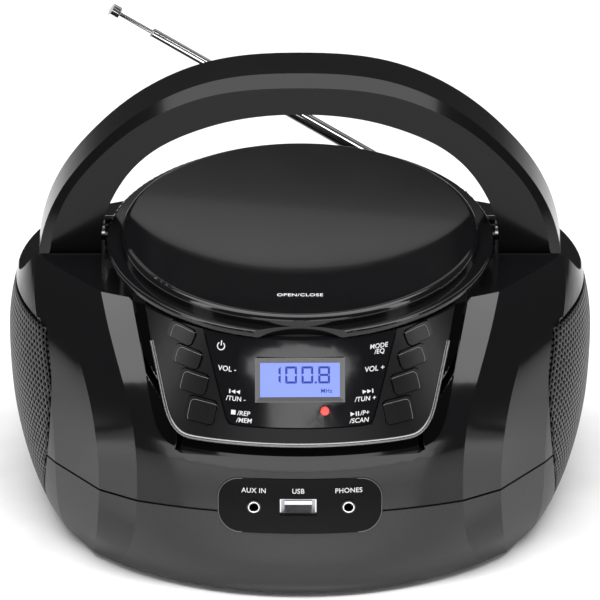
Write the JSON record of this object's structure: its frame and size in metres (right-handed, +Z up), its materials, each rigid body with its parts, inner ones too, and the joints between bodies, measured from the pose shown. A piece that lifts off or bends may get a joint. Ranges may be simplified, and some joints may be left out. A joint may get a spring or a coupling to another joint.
{
  "type": "boombox",
  "caption": "Portable boombox with a round-lidded disc bay on top, side speaker grilles, backlit display, front keys and jacks, folding carry handle and telescopic antenna.",
  "frame": {"origin": "on the ground under the middle of the casing, 2.5 mm below its underside at the plane of the four feet", "axes": "+X to the radio's right as seen from the front, +Y to the rear, +Z up"},
  "size_m": [0.2334, 0.2064, 0.179],
  "materials": {
    "black_gloss": "high gloss",
    "grille_black": "satin",
    "black_matte": "fine texture",
    "lens_smoke": "high gloss",
    "lcd_blue": "backlit",
    "led_red": "lit",
    "board_green": "solder mask",
    "jack_metal": "bright",
    "cone_paper": "pulp",
    "frame_steel": "plain",
    "magnet": "plain",
    "steel": "plain",
    "transformer_iron": "varnished",
    "rubber": "soft",
    "chrome": "polished",
    "white_plastic": "plain"
  },
  "bodies": {
    "case": {"lower_case": "black_matte", "upper_case": "black_gloss", "column_trim_left": "black_gloss", "column_trim_right": "black_gloss", "fascia_bezel": "black_gloss", "display_lens": "lens_smoke", "lcd_module": "lcd_blue", "power_led": "led_red", "button_board": "board_green", "jack_panel": "black_gloss", "aux_jack": "jack_metal", "usb_socket": "black_matte", "phones_jack": "jack_metal", "main_board": "board_green", "speaker_grille_left": "grille_black", "speaker_grille_right": "grille_black", "speaker_baffle_left": "black_matte", "speaker_baffle_right": "black_matte", "speaker_frame_left": "frame_steel", "speaker_frame_right": "frame_steel", "speaker_magnet_left": "magnet", "speaker_magnet_right": "magnet", "speaker_cone_left": "cone_paper", "speaker_cone_right": "cone_paper", "cd_well": "black_matte", "cd_chassis": "frame_steel", "spindle_motor": "steel", "sled_rails": "steel", "transformer": "transformer_iron", "power_inlet": "black_matte", "battery_bay": "black_matte", "battery_contacts": "steel", "rubber_feet": "rubber", "case_screws": "steel", "antenna_bracket": "black_matte", "lid_hinge_pin": "steel"},
    "handle": {"handle_front_shell": "black_gloss", "handle_rear_shell": "black_matte", "handle_pivot_pins": "steel"},
    "lid": {"lid_shell": "black_gloss", "lid_insert": "black_gloss"},
    "clamp": {"disc_clamp": "black_matte"},
    "turntable": {"turntable": "black_matte"},
    "laser": {"laser_sled": "white_plastic"},
    "battery_door": {"battery_door": "black_matte"},
    "antenna_base": {"antenna_swivel": "black_matte", "antenna_pin": "steel"},
    "antenna_1": {"antenna_tube_1": "chrome"},
    "antenna_2": {"antenna_tube_2": "chrome"},
    "antenna_3": {"antenna_tube_3": "chrome"},
    "antenna_4": {"antenna_rod": "chrome"},
    "power_button": {"power_button": "black_gloss"},
    "volume_down_button": {"volume_down_button": "black_gloss"},
    "skip_back_button": {"skip_back_button": "black_gloss"},
    "stop_button": {"stop_button": "black_gloss"},
    "mode_button": {"mode_button": "black_gloss"},
    "volume_up_button": {"volume_up_button": "black_gloss"},
    "skip_forward_button": {"skip_forward_button": "black_gloss"},
    "play_button": {"play_button": "black_gloss"}
  },
  "joints": [
    {"name": "handle_fold", "type": "hinge", "parent": "case", "child": "handle", "pos_m": [0, 0.014, 0.106], "axis": [-1, 0, 0], "range_deg": [0, 90]},
    {"name": "lid_open", "type": "hinge", "parent": "case", "child": "lid", "pos_m": [0, 0.06, 0.1137], "axis": [-1, 0, 0], "range_deg": [0, 36]},
    {"name": "clamp_spin", "type": "hinge", "parent": "lid", "child": "clamp", "pos_m": [0, -0.009, 0.1135], "axis": [0, -0.0837, 0.9965], "continuous": true},
    {"name": "turntable_spin", "type": "hinge", "parent": "case", "child": "turntable", "pos_m": [0, -0.009, 0.098], "axis": [0, 0, 1], "continuous": true},
    {"name": "laser_slide", "type": "slide", "parent": "case", "child": "laser", "axis": [0, -1, 0], "range_m": [0, 0.02]},
    {"name": "battery_door_slide", "type": "slide", "parent": "case", "child": "battery_door", "axis": [0, 1, 0], "range_m": [0, 0.03]},
    {"name": "antenna_swivel_turn", "type": "hinge", "parent": "case", "child": "antenna_base", "pos_m": [0.06, 0.099, 0.0805], "axis": [0, 1, 0], "range_deg": [-10, 110]},
    {"name": "antenna_elbow_tilt", "type": "hinge", "parent": "antenna_base", "child": "antenna_1", "pos_m": [0.06, 0.099, 0.0805], "axis": [-0.5284, 0, -0.849], "range_deg": [0, 90]},
    {"name": "antenna_slide_2", "type": "slide", "parent": "antenna_1", "child": "antenna_2", "axis": [-0.849, 0, 0.5284], "range_m": [-0.014, 0.055]},
    {"name": "antenna_slide_3", "type": "slide", "parent": "antenna_2", "child": "antenna_3", "axis": [-0.849, 0, 0.5284], "range_m": [-0.022, 0.046]},
    {"name": "antenna_slide_4", "type": "slide", "parent": "antenna_3", "child": "antenna_4", "axis": [-0.849, 0, 0.5284], "range_m": [-0.012, 0.05]},
    {"name": "power_button_press", "type": "slide", "parent": "case", "child": "power_button", "axis": [0.4882, 0.795, -0.3602], "range_m": [0, 0.0012], "stiffness_N_per_m": 900, "springref_m": -0.0006},
    {"name": "volume_down_button_press", "type": "slide", "parent": "case", "child": "volume_down_button", "axis": [0.4386, 0.8277, -0.35], "range_m": [0, 0.0012], "stiffness_N_per_m": 900, "springref_m": -0.0006},
    {"name": "skip_back_button_press", "type": "slide", "parent": "case", "child": "skip_back_button", "axis": [0.3851, 0.8516, -0.3558], "range_m": [0, 0.0012], "stiffness_N_per_m": 900, "springref_m": -0.0006},
    {"name": "stop_button_press", "type": "slide", "parent": "case", "child": "stop_button", "axis": [0.3285, 0.8744, -0.357], "range_m": [0, 0.0012], "stiffness_N_per_m": 900, "springref_m": -0.0006},
    {"name": "mode_button_press", "type": "slide", "parent": "case", "child": "mode_button", "axis": [-0.4882, 0.795, -0.3602], "range_m": [0, 0.0012], "stiffness_N_per_m": 900, "springref_m": -0.0006},
    {"name": "volume_up_button_press", "type": "slide", "parent": "case", "child": "volume_up_button", "axis": [-0.4386, 0.8277, -0.35], "range_m": [0, 0.0012], "stiffness_N_per_m": 900, "springref_m": -0.0006},
    {"name": "skip_forward_button_press", "type": "slide", "parent": "case", "child": "skip_forward_button", "axis": [-0.3851, 0.8516, -0.3558], "range_m": [0, 0.0012], "stiffness_N_per_m": 900, "springref_m": -0.0006},
    {"name": "play_button_press", "type": "slide", "parent": "case", "child": "play_button", "axis": [-0.3285, 0.8744, -0.357], "range_m": [0, 0.0012], "stiffness_N_per_m": 900, "springref_m": -0.0006}
  ],
  "couplings": [
    {"joint": "lid_open", "follows": "handle_fold", "ratio": 0.4}
  ]
}
